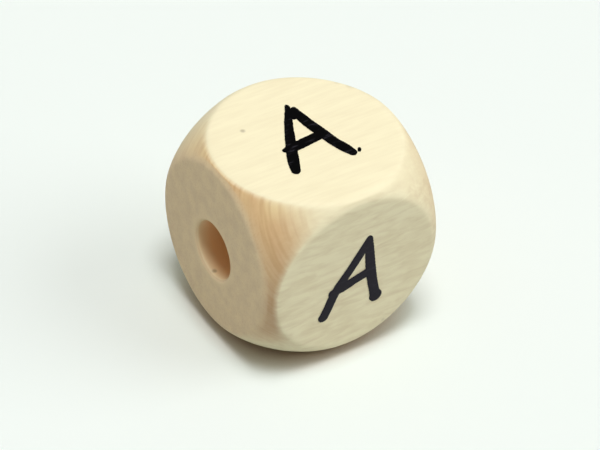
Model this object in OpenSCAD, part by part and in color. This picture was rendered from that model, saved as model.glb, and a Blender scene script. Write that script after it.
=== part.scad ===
// Cube-shaped wooden threading bead, in millimetres. A square blank is turned
// to a ball at its corners, which leaves a round flat on each of its six sides,
// and is drilled from end to end for a cord. +Z is up, the bore runs along X and
// the origin is the middle of the bead, on the bore's axis. The four flats round
// the bore are plain: they are where a bead of this kind carries its character.

/* [Blank] */
// Width across each pair of opposite flats
side = 10; // [6:0.5:25]

/* [Turned corners] */
// How far the sharp rim of a side flat would lie inside the edge of the blank
rim_inset = 0.5; // [0.3:0.05:1.5]
// How far the middle of the ball sits above the middle of the blank
turn_lift = 0.25; // [0:0.05:0.3]

/* [Eased rims] */
// How much narrower than its sharp rim each flat is left
rim_w = 0.2; // [0.05:0.05:0.5]
// Radius that rolls each flat over its rim
rim_r = 0.4; // [0.1:0.05:1]
// Slope in degrees at which that roll runs out into the ball
rim_slope = 30; // [15:1:40]

/* [Bore] */
// Diameter of the hole for the cord
bore_d = 3; // [1.5:0.1:4.5]
// Radius that rounds the two mouths of the hole
mouth_r = 0.2; // [0.1:0.05:0.5]

/* [Hidden] */
$fn = 96;
half = side / 2;
// Length by which a cutting tool runs clear of the blank
over = 1;
// Ball that meets the four side flats at their sharp rims
ball_r = norm([half, half - rim_inset]);
// Radius that lies outside the ball
reach_out = ball_r + over;

// Each flat: how it is turned from facing up, and how far it lies from the ball's middle
FLATS = [
    [[0, 0, 0], half - turn_lift],
    [[180, 0, 0], half + turn_lift],
    [[90, 0, 0], half],
    [[-90, 0, 0], half],
    [[0, 90, 0], half],
    [[0, -90, 0], half],
];

// Middle of the roll round a flat's rim: its radius from the flat's axis, and its height
function roll(height) = [sqrt(pow(ball_r, 2) - pow(height, 2)) - rim_w, height - rim_r];

// Half section of the cutter that rolls a flat over its rim, then runs straight out
// through the ball
module rim_section(height) {
    skirt_top = roll(height) + rim_r * [sin(rim_slope), cos(rim_slope)];
    skirt_drop = (reach_out - skirt_top[0]) * tan(rim_slope);
    difference() {
        polygon([
            roll(height),
            [roll(height)[0], height + over],
            [reach_out, height + over],
            [reach_out, skirt_top[1] - skirt_drop],
            skirt_top,
        ]);
        translate(roll(height))
            circle(r = rim_r);
    }
}

// The turned blank before it is drilled, raised so that its flats end level with the blank
module turned_blank() {
    translate([0, 0, turn_lift])
        difference() {
            intersection() {
                sphere(r = ball_r);
                translate([0, 0, -turn_lift])
                    cube(side, center = true);
            }
            for (flat = FLATS)
                rotate(flat[0])
                    rotate_extrude()
                        rim_section(flat[1]);
        }
}

// Half section of the cutter that rounds a mouth, standing on the bore's axis
module mouth_section() {
    difference() {
        translate([0, half - mouth_r])
            square([bore_d / 2 + mouth_r, mouth_r + over]);
        translate([bore_d / 2 + mouth_r, half - mouth_r])
            circle(r = mouth_r);
    }
}

// Everything that drilling takes away: the bore and its two rounded mouths
module drilling() {
    rotate([0, 90, 0]) {
        cylinder(d = bore_d, h = side + 2 * over, center = true);
        for (end = [0, 1])
            mirror([0, 0, end])
                rotate_extrude()
                    mouth_section();
    }
}

module bead() {
    color("BlanchedAlmond")
        difference() {
            turned_blank();
            drilling();
        }
}

bead();
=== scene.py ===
"""Dressing for a wooden threading bead: the turned wood, the painted letters and a stage."""
import math

import bpy
from mathutils import Matrix, Vector


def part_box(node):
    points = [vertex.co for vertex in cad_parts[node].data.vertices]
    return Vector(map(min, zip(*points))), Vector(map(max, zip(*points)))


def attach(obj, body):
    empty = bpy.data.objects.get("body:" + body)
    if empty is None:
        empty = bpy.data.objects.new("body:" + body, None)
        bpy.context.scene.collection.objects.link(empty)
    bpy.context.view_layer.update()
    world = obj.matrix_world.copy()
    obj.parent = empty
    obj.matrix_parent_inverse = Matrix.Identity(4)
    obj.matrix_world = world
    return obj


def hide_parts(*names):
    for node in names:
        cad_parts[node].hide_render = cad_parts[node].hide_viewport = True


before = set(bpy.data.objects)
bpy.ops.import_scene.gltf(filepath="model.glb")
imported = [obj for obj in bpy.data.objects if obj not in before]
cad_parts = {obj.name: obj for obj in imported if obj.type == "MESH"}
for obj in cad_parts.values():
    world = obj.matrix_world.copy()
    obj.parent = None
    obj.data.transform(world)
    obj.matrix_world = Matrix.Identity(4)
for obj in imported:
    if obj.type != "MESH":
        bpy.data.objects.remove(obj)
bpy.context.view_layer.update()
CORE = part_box("bead")

bl_info = {
    "name": "Threading Bead",
    "version": (1, 0, 0),
    "blender": (4, 5, 0),
    "location": "3D View > Sidebar > Bead",
    "description": "Turns a drilled wooden bead and paints the letter on its four long flats",
    "category": "Object",
}

MM = 0.001
PER_MM = 1000.0
MATH = "ShaderNodeMath"
VECTOR = "ShaderNodeVectorMath"
RANGE = "ShaderNodeMapRange"
MIX = "ShaderNodeMix"

# Rings of the bead's net, counted from the middle of a flat to the edge of its patch
RING_BORE = 12
RING_MOUTH = 16
RING_RUBBED = 37
RING_FLAT = 42
RING_ROLL = 47
RING_CONE = 49
RING_LAST = 56
WALL_ROWS = 80

# Points of the net closer than this are one point
JOIN_GAP = 0.002 * MM


def linear(text):
    """A colour written as sRGB hex, as the opaque linear colour that Blender works in."""
    parts = [int(text[i:i + 2], 16) / 255 for i in (0, 2, 4)]
    return [p / 12.92 if p <= 0.04045 else ((p + 0.055) / 1.055) ** 2.4 for p in parts] + [1.0]


def add(tree, kind, values=(), **settings):
    """Adds one node, sets its properties, then sets or links its inputs in order or by name."""
    node = tree.nodes.new(kind)
    for name, value in settings.items():
        setattr(node, name, value)
    if isinstance(values, dict):
        pairs = [(node.inputs[name], value) for name, value in values.items()]
    else:
        pairs = zip([s for s in node.inputs if s.enabled], values)
    for socket, value in pairs:
        if isinstance(value, bpy.types.Node):
            value = next(s for s in value.outputs if s.enabled)
        if isinstance(value, bpy.types.NodeSocket):
            tree.links.new(value, socket)
        elif value is not None:
            socket.default_value = value
    return node


def new_tree(name, inputs, output, output_kind):
    """Starts a geometry tree with named inputs and one output, and gives it with its input node."""
    tree = bpy.data.node_groups.new(name, "GeometryNodeTree")
    for label, kind in inputs:
        tree.interface.new_socket(label, in_out="INPUT", socket_type=kind)
    tree.interface.new_socket(output, in_out="OUTPUT", socket_type=output_kind)
    return tree, add(tree, "NodeGroupInput").outputs


def grow(tree, source, values, name):
    """Runs a tree on a new object, and gives the result as a plain mesh object with no modifier."""
    holder = bpy.data.objects.new(name + "_source", source)
    bpy.context.scene.collection.objects.link(holder)
    modifier = holder.modifiers.new("Form", "NODES")
    modifier.node_group = tree
    left = dict(values)
    for item in tree.interface.items_tree:
        if item.in_out == "INPUT" and item.name in left:
            modifier[item.identifier] = left.pop(item.name)
    if left:
        raise RuntimeError(f"{tree.name} has no input named {sorted(left)}")
    bpy.context.view_layer.update()
    evaluated = holder.evaluated_get(bpy.context.evaluated_depsgraph_get())
    mesh = bpy.data.meshes.new_from_object(evaluated)
    bpy.data.objects.remove(holder)
    if not mesh.polygons:
        raise RuntimeError(f"{tree.name} made no faces")
    mesh.name = name
    piece = bpy.data.objects.new(name, mesh)
    bpy.context.scene.collection.objects.link(piece)
    return piece


# ---------------------------------------------------------------- shape of the bead

def eased_flat_tree():
    """Distance from the ball's middle to one flat, the roll round it and its outer slope."""
    numbers = ["Along", "Reach", "Ball radius", "Rim width", "Rim radius", "Rim slope"]
    tree, size = new_tree(
        "Eased flat", [(n, "NodeSocketFloat") for n in numbers], "Distance", "NodeSocketFloat")
    along = add(tree, MATH, (size["Along"], 0.001), operation="MAXIMUM")
    along_2 = add(tree, MATH, (along, along), operation="MULTIPLY")
    across_2 = add(tree, MATH, (1.0, along_2), operation="SUBTRACT")
    across_0 = add(tree, MATH, (across_2, 0.0), operation="MAXIMUM")
    across = add(tree, MATH, (across_0,), operation="SQRT")
    reach_2 = add(tree, MATH, (size["Reach"], 2.0), operation="POWER")
    ball_2 = add(tree, MATH, (size["Ball radius"], 2.0), operation="POWER")
    sharp_2 = add(tree, MATH, (ball_2, reach_2), operation="SUBTRACT")
    sharp = add(tree, MATH, (sharp_2,), operation="SQRT")
    face = add(tree, MATH, (sharp, size["Rim width"]), operation="SUBTRACT")
    hub = add(tree, MATH, (size["Reach"], size["Rim radius"]), operation="SUBTRACT")
    # The flat itself
    on_flat = add(tree, MATH, (size["Reach"], along), operation="DIVIDE")
    flat_out = add(tree, MATH, (on_flat, across), operation="MULTIPLY")
    past_flat = add(tree, MATH, (flat_out, face), operation="GREATER_THAN")
    # The roll: where the ray leaves a circle about the hub
    hub_along = add(tree, MATH, (hub, along), operation="MULTIPLY")
    middle = add(tree, MATH, (face, across, hub_along), operation="MULTIPLY_ADD")
    face_2 = add(tree, MATH, (face, face), operation="MULTIPLY")
    hub_2 = add(tree, MATH, (hub, hub, face_2), operation="MULTIPLY_ADD")
    roll_2 = add(tree, MATH, (size["Rim radius"], 2.0), operation="POWER")
    spare = add(tree, MATH, (roll_2, hub_2), operation="SUBTRACT")
    inside = add(tree, MATH, (middle, middle, spare), operation="MULTIPLY_ADD")
    inside_0 = add(tree, MATH, (inside, 0.0), operation="MAXIMUM")
    half_chord = add(tree, MATH, (inside_0,), operation="SQRT")
    on_roll = add(tree, MATH, (middle, half_chord), operation="ADD")
    # The slope that the roll runs out into
    sine = add(tree, MATH, (size["Rim slope"],), operation="SINE")
    cosine = add(tree, MATH, (size["Rim slope"],), operation="COSINE")
    steep = add(tree, MATH, (size["Rim slope"],), operation="TANGENT")
    start_out = add(tree, MATH, (size["Rim radius"], sine, face), operation="MULTIPLY_ADD")
    start_up = add(tree, MATH, (size["Rim radius"], cosine, hub), operation="MULTIPLY_ADD")
    level = add(tree, MATH, (start_out, steep, start_up), operation="MULTIPLY_ADD")
    fall = add(tree, MATH, (across, steep, along), operation="MULTIPLY_ADD")
    on_slope = add(tree, MATH, (level, fall), operation="DIVIDE")
    slope_out = add(tree, MATH, (on_slope, across), operation="MULTIPLY")
    past_roll = add(tree, MATH, (slope_out, start_out), operation="GREATER_THAN")
    outer = add(tree, "GeometryNodeSwitch", (past_roll, on_roll, on_slope), input_type="FLOAT")
    chosen = add(tree, "GeometryNodeSwitch", (past_flat, on_flat, outer), input_type="FLOAT")
    add(tree, "NodeGroupOutput", (chosen,))
    return tree


def bead_tree():
    """A net of square rings on six patches, laid over the flats, their rims and the ball."""
    lengths = ["Side", "Rim inset", "Turn lift", "Rim width", "Rim radius", "Rim slope",
               "Bore", "Mouth radius", "Grain depth", "Unevenness"]
    tree, size = new_tree(
        "Turned bead",
        [(n, "NodeSocketFloat") for n in lengths]
        + [("Rubs", "NodeSocketInt"), ("Seed", "NodeSocketInt"),
           ("Material", "NodeSocketMaterial")],
        "Geometry", "NodeSocketGeometry")
    half = add(tree, MATH, (size["Side"], 0.5), operation="MULTIPLY")
    rim_out = add(tree, MATH, (half, size["Rim inset"]), operation="SUBTRACT")
    half_2 = add(tree, MATH, (half, half), operation="MULTIPLY")
    ball_2 = add(tree, MATH, (rim_out, rim_out, half_2), operation="MULTIPLY_ADD")
    ball = add(tree, MATH, (ball_2,), operation="SQRT")

    # Which patch a point is on, and which way it lies from the middle of that patch
    net = add(tree, "GeometryNodeMeshCube", ((2.0, 2.0, 2.0),) + (2 * RING_LAST + 1,) * 3)
    point = add(tree, "GeometryNodeInputPosition")
    size_of = add(tree, VECTOR, (point,), operation="ABSOLUTE")
    side_of = add(tree, VECTOR, (point,), operation="SIGN")
    parts = add(tree, "ShaderNodeSeparateXYZ", (size_of,)).outputs
    is_z = add(tree, MATH, (parts["Z"], 0.9999), operation="GREATER_THAN")
    is_y = add(tree, MATH, (parts["Y"], 0.9999), operation="GREATER_THAN")
    own_y = add(tree, MATH, (is_y, is_z), operation="GREATER_THAN")
    z_or_y = add(tree, MATH, (is_z, own_y), operation="ADD")
    own_x = add(tree, MATH, (1.0, z_or_y), operation="SUBTRACT")
    own = add(tree, "ShaderNodeCombineXYZ", (own_x, own_y, is_z))
    own_twice = add(tree, VECTOR, (own, 2.0), operation="SCALE")
    in_patch = add(tree, VECTOR, (size_of, own_twice), operation="SUBTRACT")
    patch = add(tree, "ShaderNodeSeparateXYZ", (in_patch,)).outputs
    widest_xy = add(tree, MATH, (patch["X"], patch["Y"]), operation="MAXIMUM")
    ring = add(tree, MATH, (widest_xy, patch["Z"]), operation="MAXIMUM")
    total = add(tree, VECTOR, (size_of, (1.0, 1.0, 1.0)), operation="DOT_PRODUCT")
    total_less = add(tree, MATH, (total, 1.0), operation="SUBTRACT")
    lesser = add(tree, MATH, (total_less, ring), operation="SUBTRACT")
    near_ring = add(tree, MATH, (ring, 0.0001), operation="SUBTRACT")
    main_x = add(tree, MATH, (patch["X"], near_ring), operation="GREATER_THAN")
    is_main_y = add(tree, MATH, (patch["Y"], near_ring), operation="GREATER_THAN")
    main_y = add(tree, MATH, (is_main_y, main_x), operation="GREATER_THAN")
    x_or_y = add(tree, MATH, (main_x, main_y), operation="ADD")
    main_z = add(tree, MATH, (1.0, x_or_y), operation="SUBTRACT")
    main = add(tree, "ShaderNodeCombineXYZ", (main_x, main_y, main_z))
    own_and_main = add(tree, VECTOR, (own, main), operation="ADD")
    rest = add(tree, VECTOR, ((1.0, 1.0, 1.0), own_and_main), operation="SUBTRACT")

    # How far the flats on this side lie from the ball's middle, which sits above the bead's
    sides = add(tree, "ShaderNodeSeparateXYZ", (side_of,)).outputs
    drop = add(tree, MATH, (sides["Z"], size["Turn lift"]), operation="MULTIPLY")
    reach_z = add(tree, MATH, (half, drop), operation="SUBTRACT")
    reach = add(tree, "ShaderNodeCombineXYZ", (half, half, reach_z))
    reach_own = add(tree, VECTOR, (reach, own), operation="DOT_PRODUCT")
    reach_main = add(tree, VECTOR, (reach, main), operation="DOT_PRODUCT")
    reach_rest = add(tree, VECTOR, (reach, rest), operation="DOT_PRODUCT")

    # Turn round the patch's axis: even steps on a circle, and the blank's edge at the last ring
    share = add(tree, MATH, (lesser, ring), operation="DIVIDE")
    turn = add(tree, MATH, (share, math.pi / 4), operation="MULTIPLY")
    turn_tan = add(tree, MATH, (turn,), operation="TANGENT")
    edge_rest = add(tree, MATH, (turn_tan, reach_rest), operation="MULTIPLY")
    edge_turn = add(tree, MATH, (edge_rest, reach_main), operation="ARCTAN2")
    edge_rest_2 = add(tree, MATH, (edge_rest, edge_rest), operation="MULTIPLY")
    edge_2 = add(tree, MATH, (reach_main, reach_main, edge_rest_2), operation="MULTIPLY_ADD")
    edge_out = add(tree, MATH, (edge_2,), operation="SQRT")
    edge_tilt = add(tree, MATH, (edge_out, reach_own), operation="ARCTAN2")

    # Tilt away from the patch's axis at the flat's rim, at the end of its roll and of its slope
    own_2 = add(tree, MATH, (reach_own, reach_own), operation="MULTIPLY")
    sharp_2 = add(tree, MATH, (ball_2, own_2), operation="SUBTRACT")
    sharp = add(tree, MATH, (sharp_2,), operation="SQRT")
    face = add(tree, MATH, (sharp, size["Rim width"]), operation="SUBTRACT")
    flat_share = add(tree, RANGE, (ring, 0.0, RING_FLAT / RING_LAST, 0.0, 1.0))
    flat_out = add(tree, MATH, (face, flat_share), operation="MULTIPLY")
    flat_tilt = add(tree, MATH, (flat_out, reach_own), operation="ARCTAN2")
    hub = add(tree, MATH, (reach_own, size["Rim radius"]), operation="SUBTRACT")
    sine = add(tree, MATH, (size["Rim slope"],), operation="SINE")
    cosine = add(tree, MATH, (size["Rim slope"],), operation="COSINE")
    roll_out = add(tree, MATH, (size["Rim radius"], sine, face), operation="MULTIPLY_ADD")
    roll_up = add(tree, MATH, (size["Rim radius"], cosine, hub), operation="MULTIPLY_ADD")
    roll_tilt = add(tree, MATH, (roll_out, roll_up), operation="ARCTAN2")
    roll_sine = add(tree, MATH, (roll_out, sine), operation="MULTIPLY")
    clear = add(tree, MATH, (roll_up, cosine, roll_sine), operation="MULTIPLY_ADD")
    clear_share = add(tree, MATH, (clear, ball), operation="DIVIDE")
    clear_turn = add(tree, MATH, (clear_share,), operation="ARCCOSINE")
    cone_tilt = add(tree, MATH, (clear_turn, size["Rim slope"]), operation="ADD")
    midway = add(tree, MATH, (roll_tilt, edge_tilt), operation="ADD")
    halfway = add(tree, MATH, (midway, 0.5), operation="MULTIPLY")
    cone_end = add(tree, MATH, (cone_tilt, halfway), operation="MINIMUM")
    marks = [RING_FLAT / RING_LAST, RING_ROLL / RING_LAST, RING_CONE / RING_LAST, 1.0]
    tilt_1 = add(tree, RANGE, (ring, marks[0], marks[1], flat_tilt, roll_tilt))
    tilt_2 = add(tree, RANGE, (ring, marks[1], marks[2], tilt_1, cone_end))
    tilt = add(tree, RANGE, (ring, marks[2], marks[3], tilt_2, edge_tilt))
    spin = add(tree, RANGE, (ring, marks[2], marks[3], turn, edge_turn))

    # The ray from the ball's middle, cut short by the ball and by the flats that it crosses
    tilt_sin = add(tree, MATH, (tilt,), operation="SINE")
    tilt_cos = add(tree, MATH, (tilt,), operation="COSINE")
    spin_sin = add(tree, MATH, (spin,), operation="SINE")
    spin_cos = add(tree, MATH, (spin,), operation="COSINE")
    round_main = add(tree, VECTOR, {0: main, "Scale": spin_cos}, operation="SCALE")
    round_rest = add(tree, VECTOR, {0: rest, "Scale": spin_sin}, operation="SCALE")
    around = add(tree, VECTOR, (round_main, round_rest), operation="ADD")
    ray_out = add(tree, VECTOR, {0: around, "Scale": tilt_sin}, operation="SCALE")
    ray_up = add(tree, VECTOR, {0: own, "Scale": tilt_cos}, operation="SCALE")
    ray = add(tree, VECTOR, (ray_out, ray_up), operation="ADD")
    rays = add(tree, "ShaderNodeSeparateXYZ", (ray,)).outputs
    eased = eased_flat_tree()
    distance = ball
    for axis, reach_axis in (("X", half), ("Y", half), ("Z", reach_z)):
        flat = add(tree, "GeometryNodeGroup",
                   {"Along": rays[axis], "Reach": reach_axis, "Ball radius": ball,
                    "Rim width": size["Rim width"], "Rim radius": size["Rim radius"],
                    "Rim slope": size["Rim slope"]}, node_tree=eased)
        distance = add(tree, MATH, (distance, flat), operation="MINIMUM")
    reached = add(tree, VECTOR, {0: ray, "Scale": distance}, operation="SCALE")

    # The two bored flats: rings start in the mouth, round the bore's own axis
    bore_r = add(tree, MATH, (size["Bore"], 0.5), operation="MULTIPLY")
    mouth_edge = add(tree, MATH, (bore_r, size["Mouth radius"]), operation="ADD")
    marks_bore = (RING_BORE / RING_LAST, RING_MOUTH / RING_LAST)
    mouth_turn = add(tree, RANGE, (ring, *marks_bore, 0.0, math.pi / 2))
    mouth_cos = add(tree, MATH, (mouth_turn,), operation="COSINE")
    mouth_sin = add(tree, MATH, (mouth_turn,), operation="SINE")
    mouth_in = add(tree, MATH, (size["Mouth radius"], mouth_cos), operation="MULTIPLY")
    mouth_out = add(tree, MATH, (mouth_edge, mouth_in), operation="SUBTRACT")
    mouth_foot = add(tree, MATH, (half, size["Mouth radius"]), operation="SUBTRACT")
    mouth_up = add(tree, MATH, (size["Mouth radius"], mouth_sin, mouth_foot),
                   operation="MULTIPLY_ADD")
    bored = add(tree, RANGE, (ring, marks_bore[1], marks[0], mouth_out, face))
    less_lift = add(tree, MATH, (size["Turn lift"], -1.0), operation="MULTIPLY")
    sunk = add(tree, RANGE, (ring, marks_bore[1], marks[0], less_lift, 0.0))
    bored_out = add(tree, VECTOR, {0: around, "Scale": bored}, operation="SCALE")
    bored_up = add(tree, VECTOR, {0: own, "Scale": mouth_up}, operation="SCALE")
    bored_end = add(tree, VECTOR, (bored_out, bored_up), operation="ADD")
    within = add(tree, MATH, (ring, marks[0] + 0.001), operation="LESS_THAN")
    is_bored = add(tree, MATH, (within, own_x), operation="MULTIPLY")
    corner = add(tree, "GeometryNodeSwitch", (is_bored, reached, bored_end), input_type="VECTOR")
    shift = add(tree, MATH, (sunk, is_bored), operation="MULTIPLY")
    lift = add(tree, MATH, (size["Turn lift"], shift), operation="ADD")
    lifted = add(tree, "ShaderNodeCombineXYZ", (0.0, 0.0, lift))
    placed = add(tree, VECTOR, (corner, side_of, lifted), operation="MULTIPLY_ADD")

    # Mark how far a point is bored, for the wood's colour, and how near a rim it is
    out_of_bore = add(tree, RANGE, (ring, *marks_bore, 1.0, 0.0))
    in_mouth = add(tree, MATH, (out_of_bore, own_x), operation="MULTIPLY")
    inner = add(tree, MATH, (ring, marks_bore[0] - 0.001), operation="LESS_THAN")
    drilled = add(tree, MATH, (inner, own_x), operation="MULTIPLY")
    mouths = add(tree, "GeometryNodeStoreNamedAttribute",
                 {"Geometry": net.outputs["Mesh"], "Name": "bored", "Value": in_mouth})
    by_rim = add(tree, RANGE, (ring, RING_RUBBED / RING_LAST, marks[0], 0.0, 1.0))
    rims = add(tree, "GeometryNodeStoreNamedAttribute",
               {"Geometry": mouths, "Name": "rim", "Value": by_rim})
    opened = add(tree, "GeometryNodeDeleteGeometry", (rims, drilled), domain="POINT")
    shell = add(tree, "GeometryNodeSetPosition", {"Geometry": opened, "Position": placed})

    # The wall of the bore, with as many sides as the ring that it meets
    wall_long = add(tree, MATH, (mouth_foot, 2.0), operation="MULTIPLY")
    wall = add(tree, "GeometryNodeMeshCylinder",
               {"Vertices": 8 * RING_BORE, "Side Segments": WALL_ROWS, "Radius": bore_r,
                "Depth": wall_long}, fill_type="NONE")
    inward = add(tree, "GeometryNodeFlipFaces", {"Mesh": wall.outputs["Mesh"]})
    along_x = add(tree, "GeometryNodeTransform",
                  {"Geometry": inward, "Rotation": (0.0, math.pi / 2, 0.0)})
    wall_mark = add(tree, "GeometryNodeStoreNamedAttribute",
                    {"Geometry": along_x, "Name": "bored", "Value": 1.0})
    joined = add(tree, "GeometryNodeJoinGeometry", (shell,))
    tree.links.new(wall_mark.outputs[0], joined.inputs[0])
    closed = add(tree, "GeometryNodeMergeByDistance", {"Geometry": joined, "Distance": JOIN_GAP})

    # Tumbling rubs the creases of the rims soft, which only ever takes wood away
    rim = add(tree, "GeometryNodeInputNamedAttribute", {"Name": "rim"}, data_type="FLOAT")
    crease = add(tree, "GeometryNodeInputPosition")
    rubbed = add(tree, "GeometryNodeBlurAttribute", (crease, size["Rubs"], rim),
                 data_type="FLOAT_VECTOR")
    tumbled = add(tree, "GeometryNodeSetPosition", {"Geometry": closed, "Position": rubbed})
    smooth = add(tree, "GeometryNodeSetShadeSmooth", {"Geometry": tumbled})

    # Relief, only ever cut into the wood: fibre lines along the bore and a slow unevenness
    place = add(tree, "GeometryNodeInputPosition")
    in_mm = add(tree, VECTOR, {0: place, "Scale": PER_MM}, operation="SCALE")
    fibres = add(tree, VECTOR, (in_mm, (0.35, 4.2, 4.2)), operation="MULTIPLY")
    seed = add(tree, MATH, (size["Seed"], 1.0), operation="MULTIPLY")
    fibre = add(tree, "ShaderNodeTexNoise",
                {"Vector": fibres, "W": seed, "Scale": 1.0, "Detail": 1.0, "Roughness": 0.5},
                noise_dimensions="4D")
    slow = add(tree, "ShaderNodeTexNoise",
               {"Vector": in_mm, "W": seed, "Scale": 0.5, "Detail": 1.0, "Roughness": 0.4},
               noise_dimensions="4D")
    fibre_cut = add(tree, MATH, (fibre.outputs[0], size["Grain depth"]), operation="MULTIPLY")
    cut = add(tree, MATH, (slow.outputs[0], size["Unevenness"], fibre_cut),
              operation="MULTIPLY_ADD")
    normal = add(tree, "GeometryNodeInputNormal")
    less_cut = add(tree, MATH, (cut, -1.0), operation="MULTIPLY")
    offset = add(tree, VECTOR, {0: normal, "Scale": less_cut}, operation="SCALE")
    worn = add(tree, "GeometryNodeSetPosition", {"Geometry": smooth, "Offset": offset})
    normals = add(tree, "ShaderNodeSeparateXYZ", (normal,)).outputs
    end_on = add(tree, MATH, (normals["X"],), operation="ABSOLUTE")
    grained = add(tree, "GeometryNodeStoreNamedAttribute",
                  {"Geometry": worn, "Name": "end_grain", "Value": end_on})
    real = add(tree, "GeometryNodeRealizeInstances", {"Geometry": grained})
    done = add(tree, "GeometryNodeSetMaterial", {"Geometry": real, "Material": size["Material"]})
    add(tree, "NodeGroupOutput", (done,))
    return tree


# ---------------------------------------------------------------- materials

# Noise in the wood: its feature, whether it lies with the fibres or on the slant of the growth
# layers, its cells to a millimetre along each axis (6.0 gives lines 0.17 mm wide), its detail
# and its distortion
WOOD_NOISE = [
    ("fine line", "fibres", (0.5, 6.0, 6.0), 2.0, 0.0),
    ("broad line", "fibres", (0.4, 1.6, 1.6), 2.0, 0.0),
    ("broad fleck", "fibres", (0.5, 1.1, 1.1), 2.0, 0.0),
    ("fine fleck", "fibres", (0.8, 3.2, 3.2), 3.0, 0.6),
    ("fine layer", "slant", (0.1, 6.0, 0.4), 1.0, 0.3),
    ("broad layer", "slant", (0.08, 1.0, 0.25), 1.0, 0.0),
    ("pore", "fibres", (3.0, 9.0, 9.0), 1.0, 0.0),
    ("blotch", "fibres", (1.0, 1.5, 1.5), 3.0, 0.0),
]

# Small dark marks in the wood, in millimetres: middle, half width and strength
WOOD_MARKS = [
    ((-2.33, 1.95, 5.0), 0.13, 0.42),
    ((4.1, 2.35, 5.0), 0.22, 0.12),
    ((3.7, 2.9, 5.0), 0.16, 0.1),
    ((-4.72, 0.1, -1.5), 0.13, 0.5),
    ((1.9, -5.0, -3.6), 0.12, 0.16),
]


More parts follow.
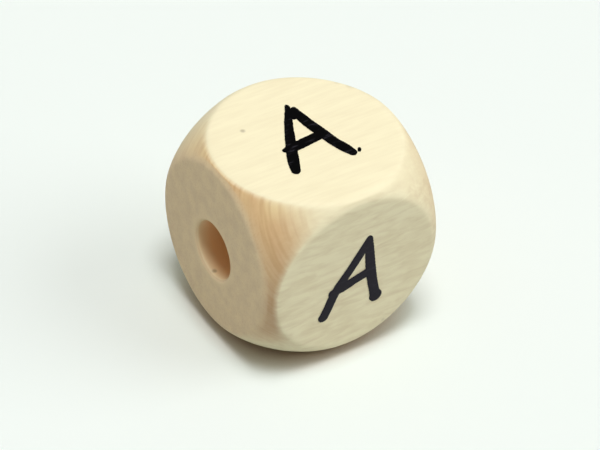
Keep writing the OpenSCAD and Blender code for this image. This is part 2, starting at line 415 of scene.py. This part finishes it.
def maple_turned_and_tumbled(look):
    """Maple, turned on a lathe and tumbled smooth, with no lacquer: pale and dull on the long
    grain, warmer where the turning cuts across the fibres, and browner on the end grain."""
    material = bpy.data.materials.new("maple_turned_and_tumbled")
    material.use_nodes = True
    tree = material.node_tree
    tree.nodes.clear()
    place = add(tree, "ShaderNodeTexCoord").outputs["Object"]
    in_mm = add(tree, VECTOR, {0: place, "Scale": PER_MM}, operation="SCALE")
    parts = add(tree, "ShaderNodeSeparateXYZ", (in_mm,)).outputs
    end_grain = add(tree, "ShaderNodeAttribute", attribute_name="end_grain").outputs["Fac"]
    bored = add(tree, "ShaderNodeAttribute", attribute_name="bored").outputs["Fac"]

    # Noise for each feature of the grain, whose layers stand on a slant across the end grain
    slant = add(tree, "ShaderNodeMapping",
                {"Vector": in_mm, "Rotation": (math.radians(41), 0.0, 0.0)})
    noise = {}
    for feature, source, cells, detail, distortion in WOOD_NOISE:
        at = add(tree, VECTOR, (slant if source == "slant" else in_mm, cells),
                 operation="MULTIPLY")
        noise[feature] = add(tree, "ShaderNodeTexNoise",
                             {"Vector": at, "Scale": 1.0, "Detail": detail,
                              "Distortion": distortion}).outputs[0]

    # Fibres run along the bore: lines on the flats above and below, drawn 0.17 mm wide to show,
    # and on the two side flats flecks where the saw met the rays, 1 to 2 mm long
    lines = add(tree, MATH, (noise["fine line"], noise["broad line"]), operation="ADD")
    line = add(tree, RANGE, (lines, 0.75, 1.25, 0.0, 1.0))
    flecks = add(tree, MATH, (noise["broad fleck"], 0.4, noise["fine fleck"]),
                 operation="MULTIPLY_ADD")
    fleck = add(tree, RANGE, (flecks, 0.56, 0.92, 0.0, 1.0))
    from_side = add(tree, MATH, (parts["Y"],), operation="ABSOLUTE")
    from_top = add(tree, MATH, (parts["Z"],), operation="ABSOLUTE")
    sideways = add(tree, MATH, (from_side, from_top), operation="SUBTRACT")
    on_side = add(tree, RANGE, (sideways, -0.4, 0.4, 0.0, 1.0))
    line_part = add(tree, MATH, (line, 0.4), operation="MULTIPLY")
    figure = add(tree, MIX, (on_side, line_part, fleck), data_type="FLOAT")

    # Growth layers: broad ones 1 mm apart, with fine lines 0.17 mm apart in them, which is as
    # coarse as they need to be to show
    layer = add(tree, RANGE, (noise["fine layer"], 0.42, 0.66, 0.0, 1.0))
    broad = add(tree, RANGE, (noise["broad layer"], 0.4, 0.6, 0.0, 1.0))

    # How far the surface cuts across the fibres, which fades towards the back
    cut = add(tree, RANGE, (end_grain, 0.25, 0.76, 0.0, 1.0), interpolation_type="SMOOTHSTEP")
    # Painted light: the tint is painted paler towards the far end, under the lamp on the right
    far_end_painted_light = add(tree, RANGE, (parts["X"], -3.5, 3.5, 1.0, 0.15))
    fade = add(tree, RANGE, (parts["Y"], 0.5, 5.0, far_end_painted_light, 0.15))
    # Painted light: the tint is painted paler towards the foot
    foot_painted_light = add(tree, RANGE, (parts["Z"], -1.7, -3.4, 1.0, 0.0))
    tint_share_with_painted_light = add(tree, MATH, (fade, foot_painted_light), operation="MULTIPLY")
    leaning = add(tree, MATH, (cut, tint_share_with_painted_light), operation="MULTIPLY")
    end_on = add(tree, RANGE, (end_grain, 0.5, 0.98, 0.0, 1.0), interpolation_type="SMOOTHSTEP")
    off_end = add(tree, MATH, (1.0, end_on), operation="SUBTRACT")
    long_grain = add(tree, MIX, (figure, look.flat_colour, look.fibre_colour), data_type="RGBA")
    warm = add(tree, MIX, (broad, look.turned_colour, look.layer_colour), data_type="RGBA")
    # The turned wood is darker and duller towards the bottom
    low = add(tree, RANGE, (parts["Z"], 4.0, 0.5, 0.0, 0.85))
    layered = add(tree, MIX, (low, warm, look.band_colour), data_type="RGBA")
    crossed = add(tree, MIX, (leaning, long_grain, layered), data_type="RGBA")

    # The end grain is blotched where it drank more, with pores in it, drawn 0.11 mm wide to show
    pores = add(tree, RANGE, (noise["pore"], 0.5, 0.75, 0.0, 0.18))
    blotches = add(tree, RANGE, (noise["blotch"], 0.35, 0.65, 0.0, 1.0))
    blotched = add(tree, MIX, (blotches, look.end_colour, look.blotch_colour), data_type="RGBA")
    pored = add(tree, MIX, (pores, blotched, look.streak_colour), data_type="RGBA")
    ends = add(tree, MIX, (end_on, crossed, pored), data_type="RGBA")
    streak = add(tree, MATH, (layer, leaning), operation="MULTIPLY")
    streak_off = add(tree, MATH, (streak, off_end), operation="MULTIPLY")
    streak_on = add(tree, MATH, (streak_off, 0.5), operation="MULTIPLY")
    streaked = add(tree, MIX, (streak_on, ends, look.streak_colour), data_type="RGBA")

    # A pale ring round each mouth is a painted highlight on its rounded rim
    across = add(tree, VECTOR, (in_mm, (0.0, 1.0, 1.0)), operation="MULTIPLY")
    from_axis = add(tree, VECTOR, (across,), operation="LENGTH")
    rubbed = add(tree, RANGE, (from_axis, 1.65, 2.1, 0.6, 0.0), interpolation_type="SMOOTHSTEP")
    mouth_ring_highlight = add(tree, MATH, (rubbed, end_on), operation="MULTIPLY")
    mouth = add(tree, MIX, (mouth_ring_highlight, streaked, look.mouth_pale_light_colour), data_type="RGBA")
    # Painted light and shade on the wall of the bore: pale near the mouth, browner with depth
    along = add(tree, MATH, (parts["X"],), operation="ABSOLUTE")
    bore_depth_shade = add(tree, RANGE, (along, 4.85, 4.15, 0.0, 1.0))
    wall = add(tree, MIX, (bore_depth_shade, look.mouth_pale_light_colour, look.bore_depth_shade_colour), data_type="RGBA")
    colour = add(tree, MIX, (bored, mouth, wall), data_type="RGBA")
    for middle, width, strength in WOOD_MARKS:
        away = add(tree, VECTOR, (in_mm, middle), operation="DISTANCE")
        spot = add(tree, RANGE, (away, 0.3 * width, 1.4 * width, strength, 0.0),
                   interpolation_type="SMOOTHSTEP")
        colour = add(tree, MIX, (spot, colour, look.mark_colour), data_type="RGBA")
    bump = add(tree, "ShaderNodeBump", {"Height": figure, "Strength": 0.15,
                                        "Distance": 0.01 * MM})
    shader = add(tree, "ShaderNodeBsdfPrincipled",
                 {"Base Color": colour, "Roughness": 0.62, "IOR": 1.5, "Normal": bump})
    add(tree, "ShaderNodeOutputMaterial", {"Surface": shader})
    return material


def matt_black_paint(look):
    """Matt black paint, put on with a round brush: it soaks in a little, so it is dull, and it
    is not quite black where it ran thin. On the two side flats it is painted greyer: painted sheen."""
    material = bpy.data.materials.new("matt_black_paint")
    material.use_nodes = True
    tree = material.node_tree
    tree.nodes.clear()
    place = add(tree, "ShaderNodeTexCoord").outputs["Object"]
    in_mm = add(tree, VECTOR, {0: place, "Scale": PER_MM}, operation="SCALE")
    grain = add(tree, VECTOR, (in_mm, (1.0, 4.0, 4.0)), operation="MULTIPLY")
    mottle = add(tree, "ShaderNodeTexNoise", {"Vector": grain, "Scale": 1.5, "Detail": 3.0})
    parts = add(tree, "ShaderNodeSeparateXYZ", (in_mm,)).outputs
    from_side = add(tree, MATH, (parts["Y"],), operation="ABSOLUTE")
    # Painted sheen: on the two side flats at least half of the paint takes the paler colour
    on_side = add(tree, MATH, (from_side, 4.9), operation="GREATER_THAN")
    side_painted_sheen = add(tree, MATH, (on_side, 0.5), operation="MULTIPLY")
    thin = add(tree, RANGE, (mottle.outputs[0], 0.58, 0.95, side_painted_sheen, 1.0))
    colour = add(tree, MIX, (thin, look.paint_colour, look.thin_and_sheen_colour), data_type="RGBA")
    bump = add(tree, "ShaderNodeBump", {"Height": mottle.outputs[0], "Strength": 0.3,
                                        "Distance": 0.02 * MM})
    shader = add(tree, "ShaderNodeBsdfPrincipled",
                 {"Base Color": colour, "Roughness": 0.55, "IOR": 1.48, "Specular IOR Level": 0.04,
                  "Normal": bump})
    add(tree, "ShaderNodeOutputMaterial", {"Surface": shader})
    return material


# How far from the wood the painted contact shadow on the paper reaches
CONTACT_SHADE_REACH = 1.8 * MM


def white_studio_paper(look):
    """White paper sweep, uncoated: it throws light back evenly and has no gloss. The camera sees
    a cool white, and the bead gets a little less light back than that. Close under the bead the
    paper is painted darker and browner by ambient occlusion: a painted contact shadow."""
    material = bpy.data.materials.new("white_studio_paper")
    material.use_nodes = True
    tree = material.node_tree
    tree.nodes.clear()
    place = add(tree, "ShaderNodeTexCoord").outputs["Object"]
    in_mm = add(tree, VECTOR, {0: place, "Scale": PER_MM}, operation="SCALE")
    tooth = add(tree, "ShaderNodeTexNoise", {"Vector": in_mm, "Scale": 0.05, "Detail": 1.0})
    tint = add(tree, RANGE, (tooth.outputs[0], 0.0, 1.0, 0.985, 1.0))
    # Painted contact shadow: ambient occlusion mixes a darker, browner colour into the paper near
    # the bead
    open_sky = add(tree, "ShaderNodeAmbientOcclusion", {"Distance": CONTACT_SHADE_REACH}, samples=8)
    clear = add(tree, RANGE, (open_sky.outputs["AO"], 0.1, 0.7, 0.0, 1.0))
    painted_contact_shadow = add(tree, MIX, (clear, look.contact_shade_colour, look.floor_colour), data_type="RGBA")
    seen = add(tree, VECTOR, {0: painted_contact_shadow, "Scale": tint}, operation="SCALE")
    path = add(tree, "ShaderNodeLightPath").outputs["Is Camera Ray"]
    shade = add(tree, MIX, (path, look.bounce_colour, seen), data_type="RGBA")
    shader = add(tree, "ShaderNodeBsdfDiffuse", {"Color": shade, "Roughness": 0.0})
    add(tree, "ShaderNodeOutputMaterial", {"Surface": shader})
    return material


# ---------------------------------------------------------------- painted letter

# Strokes of the painted letter in millimetres on a flat, right along the bore: points with the
# half width of the brush at each. They follow the two letters on a real bead, which differ.
LETTER_A = [
    [(0.53, 2.52, 0.1), (0.4, 2.2, 0.16), (-0.2, 1.2, 0.22), (-0.87, -0.05, 0.27),
     (-1.36, -1.0, 0.29), (-1.69, -1.76, 0.23)],
    [(0.72, 2.2, 0.13), (0.68, 1.6, 0.26), (0.77, 0.8, 0.3), (0.93, 0.0, 0.3),
     (1.08, -0.8, 0.29), (1.28, -1.42, 0.3), (1.42, -1.9, 0.23)],
    [(0.5, 2.1, 0.2), (0.34, 1.6, 0.14)],
    [(-1.36, -0.26, 0.13), (-0.95, -0.28, 0.27), (-0.2, -0.19, 0.3), (0.7, -0.08, 0.28)],
    [(1.76, -1.97, 0.08), (1.86, -1.83, 0.09)],
]
LETTER_B = [
    [(0.56, 2.3, 0.18), (0.25, 1.7, 0.25), (-0.33, 0.8, 0.26), (-1.0, -0.15, 0.28),
     (-1.3, -0.75, 0.29), (-1.56, -1.4, 0.28), (-1.73, -1.76, 0.3)],
    [(0.58, 2.2, 0.2), (0.66, 1.4, 0.26), (0.8, 0.4, 0.28), (0.95, -0.4, 0.28),
     (1.08, -1.0, 0.27), (1.19, -1.45, 0.3), (1.26, -1.66, 0.36)],
    [(0.5, 2.0, 0.25), (0.33, 1.7, 0.2)],
    [(0.7, 0.13, 0.28), (0.0, -0.06, 0.27), (-0.7, -0.28, 0.28), (-1.34, -0.4, 0.22)],
]


def brush_curve(name, strokes):
    """The strokes as a flat curve whose radius is the brush's."""
    curve = bpy.data.curves.new(name, "CURVE")
    curve.dimensions = "3D"
    for stroke in strokes:
        spline = curve.splines.new("POLY")
        spline.points.add(len(stroke) - 1)
        for end, (x, y, radius) in zip(spline.points, stroke):
            end.co = (x * MM, y * MM, 0.0, 1.0)
            end.radius = radius * MM
    return curve


def letter_tree():
    """Strokes swept by a round brush, run together where they meet, and pressed to a film."""
    tree, size = new_tree(
        "Painted letter",
        [("Strokes", "NodeSocketGeometry"), ("Reach", "NodeSocketFloat"),
         ("Film", "NodeSocketFloat"), ("Step", "NodeSocketFloat"), ("Bleed", "NodeSocketFloat"),
         ("Turn", "NodeSocketFloat"), ("Seed", "NodeSocketInt"),
         ("Material", "NodeSocketMaterial")],
        "Geometry", "NodeSocketGeometry")
    rounded = add(tree, "GeometryNodeCurveSplineType", (size["Strokes"],),
                  spline_type="CATMULL_ROM")
    fine = add(tree, "GeometryNodeResampleCurve", {"Curve": rounded, "Length": size["Step"]},
               mode="LENGTH")
    dabs = add(tree, "GeometryNodeCurveToPoints", {"Curve": fine}, mode="EVALUATED")
    radius = add(tree, "GeometryNodeInputRadius")
    volume = add(tree, "GeometryNodePointsToVolume",
                 {"Points": dabs.outputs[0], "Voxel Size": size["Step"], "Radius": radius},
                 resolution_mode="VOXEL_SIZE")
    skin = add(tree, "GeometryNodeVolumeToMesh", {"Volume": volume, "Threshold": 0.1},
               resolution_mode="GRID")
    place = add(tree, "GeometryNodeInputPosition")
    in_mm = add(tree, VECTOR, {0: place, "Scale": PER_MM}, operation="SCALE")
    seed = add(tree, MATH, (size["Seed"], 1.0), operation="MULTIPLY")
    soak = add(tree, "ShaderNodeTexNoise",
               {"Vector": in_mm, "W": seed, "Scale": 3.5, "Detail": 2.0}, noise_dimensions="4D")
    centred = add(tree, VECTOR, (soak.outputs[1], (0.5, 0.5, 0.5)), operation="SUBTRACT")
    bleed = add(tree, VECTOR, {0: centred, "Scale": size["Bleed"]}, operation="SCALE")
    soaked = add(tree, "GeometryNodeSetPosition", {"Geometry": skin, "Offset": bleed})
    parts = add(tree, "ShaderNodeSeparateXYZ", (place,)).outputs
    pressed = add(tree, MATH, (parts["Z"], size["Film"]), operation="MULTIPLY")
    raised = add(tree, MATH, (pressed, size["Reach"]), operation="ADD")
    film = add(tree, "ShaderNodeCombineXYZ", (parts["X"], parts["Y"], raised))
    laid = add(tree, "GeometryNodeSetPosition", {"Geometry": soaked, "Position": film})
    angle = add(tree, "ShaderNodeCombineXYZ", (size["Turn"], 0.0, 0.0))
    turned = add(tree, "GeometryNodeTransform", {"Geometry": laid, "Rotation": angle})
    smooth = add(tree, "GeometryNodeSetShadeSmooth", {"Geometry": turned})
    real = add(tree, "GeometryNodeRealizeInstances", {"Geometry": smooth})
    done = add(tree, "GeometryNodeSetMaterial", {"Geometry": real, "Material": size["Material"]})
    add(tree, "NodeGroupOutput", (done,))
    return tree


# ---------------------------------------------------------------- what a user may change

class BeadSizes(bpy.types.PropertyGroup):
    """Sizes of the turned bead."""
    side: bpy.props.FloatProperty(
        name="Side", description="Width across opposite flats",
        default=CORE[1].x - CORE[0].x, min=0.004, unit="LENGTH", subtype="DISTANCE")
    rim_inset: bpy.props.FloatProperty(
        name="Rim inset", description="How far a side flat's sharp rim lies inside the blank",
        default=0.5 * MM, min=0.0, unit="LENGTH", subtype="DISTANCE")
    turn_lift: bpy.props.FloatProperty(
        name="Turning lift", description="Height of the ball's middle above the bead's middle",
        default=0.25 * MM, min=0.0, unit="LENGTH", subtype="DISTANCE")
    rim_width: bpy.props.FloatProperty(
        name="Rim width", description="How much narrower than its sharp rim each flat is left",
        default=0.2 * MM, min=0.0, unit="LENGTH", subtype="DISTANCE")
    rim_radius: bpy.props.FloatProperty(
        name="Rim radius", description="Radius that rolls each flat over its rim",
        default=0.4 * MM, min=0.0, unit="LENGTH", subtype="DISTANCE")
    rim_slope: bpy.props.FloatProperty(
        name="Rim slope", description="Slope at which the roll runs out into the ball",
        default=math.radians(30), min=0.0, subtype="ANGLE")
    bore: bpy.props.FloatProperty(
        name="Bore", description="Diameter of the hole for the cord",
        default=3.0 * MM, min=0.0, unit="LENGTH", subtype="DISTANCE")
    mouth_radius: bpy.props.FloatProperty(
        name="Mouth radius", description="Radius that rounds the two mouths of the hole",
        default=0.2 * MM, min=0.0, unit="LENGTH", subtype="DISTANCE")
    grain_depth: bpy.props.FloatProperty(
        name="Grain depth", description="Deepest of the fibre lines in the surface",
        default=0.012 * MM, min=0.0, unit="LENGTH", subtype="DISTANCE")
    unevenness: bpy.props.FloatProperty(
        name="Unevenness", description="Slow waves that tumbling leaves in the surface",
        default=0.02 * MM, min=0.0, unit="LENGTH", subtype="DISTANCE")
    rubs: bpy.props.IntProperty(
        name="Rubs", description="How often tumbling has rubbed the creases of the rims",
        default=12, min=0, max=40)
    seed: bpy.props.IntProperty(
        name="Seed", description="Which piece of wood this is", default=3, min=0)


class BeadWood(bpy.types.PropertyGroup):
    """Colours of the bare wood."""
    flat_colour: bpy.props.FloatVectorProperty(
        name="Long grain", description="Wood on the flats along the fibres",
        default=linear("FDF5D1"), size=4, min=0.0, max=1.0, subtype="COLOR")
    fibre_colour: bpy.props.FloatVectorProperty(
        name="Fibre lines", description="Darker fibres in the long grain",
        default=linear("EFE3BE"), size=4, min=0.0, max=1.0, subtype="COLOR")
    turned_colour: bpy.props.FloatVectorProperty(
        name="Turned wood", description="Wood where the turning cuts across the fibres",
        default=linear("EFCD8E"), size=4, min=0.0, max=1.0, subtype="COLOR")
    layer_colour: bpy.props.FloatVectorProperty(
        name="Turned layers", description="Darker growth layers in the turned wood",
        default=linear("DFB076"), size=4, min=0.0, max=1.0, subtype="COLOR")
    streak_colour: bpy.props.FloatVectorProperty(
        name="Turned streaks", description="Fine lines in the turned wood",
        default=linear("C4935E"), size=4, min=0.0, max=1.0, subtype="COLOR")
    end_colour: bpy.props.FloatVectorProperty(
        name="End grain", description="Wood on the two bored flats",
        default=linear("F1DBB2"), size=4, min=0.0, max=1.0, subtype="COLOR")
    # Pale colour of the painted highlight round the mouths and of the painted light near them
    mouth_pale_light_colour: bpy.props.FloatVectorProperty(
        name="Mouth", description="Rubbed wood round the two mouths of the hole",
        default=linear("F4DEB4"), size=4, min=0.0, max=1.0, subtype="COLOR")
    # Browner colour of the painted shade deeper in the bore
    bore_depth_shade_colour: bpy.props.FloatVectorProperty(
        name="Bore", description="Scorched wood on the wall of the hole",
        default=linear("F8CB96"), size=4, min=0.0, max=1.0, subtype="COLOR")
    blotch_colour: bpy.props.FloatVectorProperty(
        name="End blotches", description="Duller patches in the end grain",
        default=linear("E8D1AB"), size=4, min=0.0, max=1.0, subtype="COLOR")
    # Colour that the turned wood takes towards the bottom
    band_colour: bpy.props.FloatVectorProperty(
        name="Lower layers", description="Duller growth layers low in the turned wood",
        default=linear("C09A76"), size=4, min=0.0, max=1.0, subtype="COLOR")
    mark_colour: bpy.props.FloatVectorProperty(
        name="Marks", description="Small dark marks in the wood",
        default=linear("6E5A3A"), size=4, min=0.0, max=1.0, subtype="COLOR")


class BeadPaint(bpy.types.PropertyGroup):
    """The painted letter."""
    film: bpy.props.FloatProperty(
        name="Film", description="Height of the paint film as a share of the brush's radius",
        default=0.08, min=0.01, max=1.0)
    step: bpy.props.FloatProperty(
        name="Step", description="Finest detail of the paint's edge",
        default=0.035 * MM, min=0.01 * MM, unit="LENGTH", subtype="DISTANCE")
    bleed: bpy.props.FloatProperty(
        name="Bleed", description="How far the paint's edge wanders into the grain",
        default=0.05 * MM, min=0.0, unit="LENGTH", subtype="DISTANCE")
    paint_colour: bpy.props.FloatVectorProperty(
        name="Paint", description="Matt black paint",
        default=linear("040405"), size=4, min=0.0, max=1.0, subtype="COLOR")
    # Paler colour for thin paint, and for the painted sheen on the two side flats
    thin_and_sheen_colour: bpy.props.FloatVectorProperty(
        name="Thin paint", description="Paint where the wood shows through",
        default=linear("46444E"), size=4, min=0.0, max=1.0, subtype="COLOR")


class BeadStage(bpy.types.PropertyGroup):
    """Floor and lamps."""
    floor_colour: bpy.props.FloatVectorProperty(
        name="Floor", description="Colour of the paper that the bead stands on",
        default=linear("F2FAF7"), size=4, min=0.0, max=1.0, subtype="COLOR")
    # Painted contact shadow, mixed in by ambient occlusion and seen only by the camera
    contact_shade_colour: bpy.props.FloatVectorProperty(
        name="Floor contact", description="Colour of the paper close under the bead",
        default=linear("B29482"), size=4, min=0.0, max=1.0, subtype="COLOR")
    bounce_colour: bpy.props.FloatVectorProperty(
        name="Floor bounce", description="Colour of the light that the paper throws back",
        default=linear("CDD2CF"), size=4, min=0.0, max=1.0, subtype="COLOR")
    sky_colour: bpy.props.FloatVectorProperty(
        name="Sky", description="Colour of the light from all round",
        default=linear("FFF7EB"), size=4, min=0.0, max=1.0, subtype="COLOR")
    overhead_level: bpy.props.FloatProperty(
        name="Overhead lamp", description="Share of the floor's light from the main lamp above",
        default=0.55, min=0.0, max=1.0, subtype="FACTOR")
    fill_level: bpy.props.FloatProperty(
        name="Fill lamp", description="Share of the floor's light from the broad lamp behind",
        default=0.2, min=0.0, max=1.0, subtype="FACTOR")
    side_level: bpy.props.FloatProperty(
        name="Side lamp", description="Share of the floor's light from the lamp on the right",
        default=0.2, min=0.0, max=1.0, subtype="FACTOR")
    sky_level: bpy.props.FloatProperty(
        name="Sky level", description="Share of the floor's light that comes from all round",
        default=0.23, min=0.0, max=1.0, subtype="FACTOR")


class BeadSettings(bpy.types.PropertyGroup):
    """Everything that a user may change."""
    sizes: bpy.props.PointerProperty(type=BeadSizes, name="Sizes", description="Bead sizes")
    wood: bpy.props.PointerProperty(type=BeadWood, name="Wood", description="Wood colours")
    paint: bpy.props.PointerProperty(type=BeadPaint, name="Paint", description="Painted letter")
    stage: bpy.props.PointerProperty(type=BeadStage, name="Stage", description="Floor and lamps")


# ---------------------------------------------------------------- operators

# The floor lies below the lowest flat by the height of the paint film there, and reaches this
# many metres each way
FLOOR_DROP = 0.03 * MM
FLOOR_REACH = 0.6

# Each lamp: which way it hangs from the bead, its width in metres, and the property that holds
# its share of the floor's light
LAMP_DISTANCE = 1.5
LAMPS = (
    ("overhead_lamp", (-0.075, -0.14, 1.0), 0.56, "overhead_level"),
    ("fill_lamp", (0.0, 0.5, 1.0), 3.0, "fill_level"),
    ("side_lamp", (0.62, -0.45, 0.66), 1.1, "side_level"),
)

# The camera looks down at the corner between the top, the front and a bored end
AZIMUTH = math.radians(-35.96)
ELEVATION = math.radians(41.24)
ROLL = math.radians(4.68)
AIM_RIGHT = 0.03 * MM
AIM_DOWN = 0.36 * MM
VIEW_DISTANCE = 150 * MM
SENSOR = 36.0
LENS = 184.9


class BEAD_OT_turn(bpy.types.Operator):
    """Turn the wooden bead, with its six eased flats and its bore"""
    bl_idname = "bead.turn"
    bl_label = "Turn Bead"

    def execute(self, context):
        settings = context.scene.threading_bead
        sizes = settings.sizes
        values = {
            "Side": sizes.side, "Rim inset": sizes.rim_inset, "Turn lift": sizes.turn_lift,
            "Rim width": sizes.rim_width, "Rim radius": sizes.rim_radius,
            "Rim slope": sizes.rim_slope, "Bore": sizes.bore,
            "Mouth radius": sizes.mouth_radius, "Grain depth": sizes.grain_depth,
            "Unevenness": sizes.unevenness, "Rubs": sizes.rubs, "Seed": sizes.seed,
            "Material": maple_turned_and_tumbled(settings.wood),
        }
        bead = grow(bead_tree(), bpy.data.meshes.new("bead_blank"), values, "turned_bead")
        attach(bead, "root")
        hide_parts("bead")
        return {"FINISHED"}


class BEAD_OT_paint(bpy.types.Operator):
    """Paint the letter on the four flats round the bore"""
    bl_idname = "bead.paint"
    bl_label = "Paint Letters"

    def execute(self, context):
        settings = context.scene.threading_bead
        paint = settings.paint
        material = matt_black_paint(paint)
        tree = letter_tree()
        flats = (("letter_top", LETTER_A), ("letter_front", LETTER_B),
                 ("letter_underside", LETTER_A), ("letter_back", LETTER_B))
        for quarter, (name, strokes) in enumerate(flats):
            values = {
                "Reach": settings.sizes.side / 2, "Film": paint.film, "Step": paint.step,
                "Bleed": paint.bleed, "Turn": quarter * math.pi / 2, "Seed": quarter,
                "Material": material,
            }
            letter = grow(tree, brush_curve(name, strokes), values, name)
            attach(letter, "root")
        return {"FINISHED"}


class BEAD_OT_stage(bpy.types.Operator):
    """Lay the floor, hang the lamps and set the camera"""
    bl_idname = "bead.stage"
    bl_label = "Set Stage"

    def execute(self, context):
        settings = context.scene.threading_bead
        look = settings.stage
        lowest = CORE[0].z - FLOOR_DROP
        mesh = bpy.data.meshes.new("paper_floor")
        corners = [(x * FLOOR_REACH, y * FLOOR_REACH, lowest)
                   for x, y in ((-1, -1), (1, -1), (1, 1), (-1, 1))]
        mesh.from_pydata(corners, [], [(0, 1, 2, 3)])
        mesh.materials.append(white_studio_paper(look))
        floor = bpy.data.objects.new("paper_floor", mesh)
        context.scene.collection.objects.link(floor)

        # A lamp's power makes up for its distance and for its slant on the floor
        for name, direction, width, level in LAMPS:
            toward = Vector(direction).normalized()
            lamp = bpy.data.lights.new(name, "AREA")
            lamp.shape = "DISK"
            lamp.size = width
            lamp.energy = getattr(look, level) * (math.pi * LAMP_DISTANCE) ** 2 / toward.z
            hung = bpy.data.objects.new(name, lamp)
            hung.location = toward * LAMP_DISTANCE
            hung.rotation_euler = toward.to_track_quat("Z", "Y").to_euler()
            context.scene.collection.objects.link(hung)

        world = bpy.data.worlds.new("studio")
        world.use_nodes = True
        tree = world.node_tree
        tree.nodes.clear()
        path = add(tree, "ShaderNodeLightPath").outputs["Is Camera Ray"]
        strength = add(tree, RANGE, (path, 0.0, 1.0, look.sky_level, 1.0))
        tint = add(tree, MIX, (path, look.sky_colour, look.floor_colour), data_type="RGBA")
        sky = add(tree, "ShaderNodeBackground", {"Color": tint, "Strength": strength})
        add(tree, "ShaderNodeOutputWorld", {"Surface": sky})
        context.scene.world = world

        back = Vector((math.sin(AZIMUTH) * math.cos(ELEVATION),
                       -math.cos(AZIMUTH) * math.cos(ELEVATION), math.sin(ELEVATION)))
        sideways = Vector((math.cos(AZIMUTH), math.sin(AZIMUTH), 0.0))
        right = sideways * math.cos(ROLL) + back.cross(sideways) * math.sin(ROLL)
        up = back.cross(right)
        aim = right * AIM_RIGHT - up * AIM_DOWN
        view = bpy.data.cameras.new("camera")
        view.sensor_width = SENSOR
        view.lens = LENS
        view.clip_start = 0.01
        view.clip_end = 10.0
        camera = bpy.data.objects.new("camera", view)
        turn = Matrix((right, up, back)).transposed().to_4x4()
        camera.matrix_world = Matrix.Translation(aim + back * VIEW_DISTANCE) @ turn
        context.scene.collection.objects.link(camera)
        context.scene.camera = camera
        context.scene.view_settings.view_transform = "Standard"
        return {"FINISHED"}


class VIEW3D_PT_threading_bead(bpy.types.Panel):
    """Lists the sizes, the colours and the steps that make the bead"""
    bl_idname = "VIEW3D_PT_threading_bead"
    bl_label = "Threading Bead"
    bl_space_type = "VIEW_3D"
    bl_region_type = "UI"
    bl_category = "Bead"

    def draw(self, context):
        settings = context.scene.threading_bead
        for group in (settings.sizes, settings.wood, settings.paint, settings.stage):
            box = self.layout.box()
            for name in type(group).__annotations__:
                box.prop(group, name)
        for step in (BEAD_OT_turn, BEAD_OT_paint, BEAD_OT_stage):
            self.layout.operator(step.bl_idname)


CLASSES = (BeadSizes, BeadWood, BeadPaint, BeadStage, BeadSettings, BEAD_OT_turn, BEAD_OT_paint,
           BEAD_OT_stage, VIEW3D_PT_threading_bead)


def register():
    for cls in CLASSES:
        bpy.utils.register_class(cls)
    bpy.types.Scene.threading_bead = bpy.props.PointerProperty(
        type=BeadSettings, name="Threading bead", description="Sizes, colours and light")


def unregister():
    del bpy.types.Scene.threading_bead
    for cls in reversed(CLASSES):
        bpy.utils.unregister_class(cls)


def main():
    """Makes the bead on its stage."""
    register()
    bpy.ops.bead.turn()
    bpy.ops.bead.paint()
    bpy.ops.bead.stage()
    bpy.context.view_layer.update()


if __name__ == "__main__":
    main()
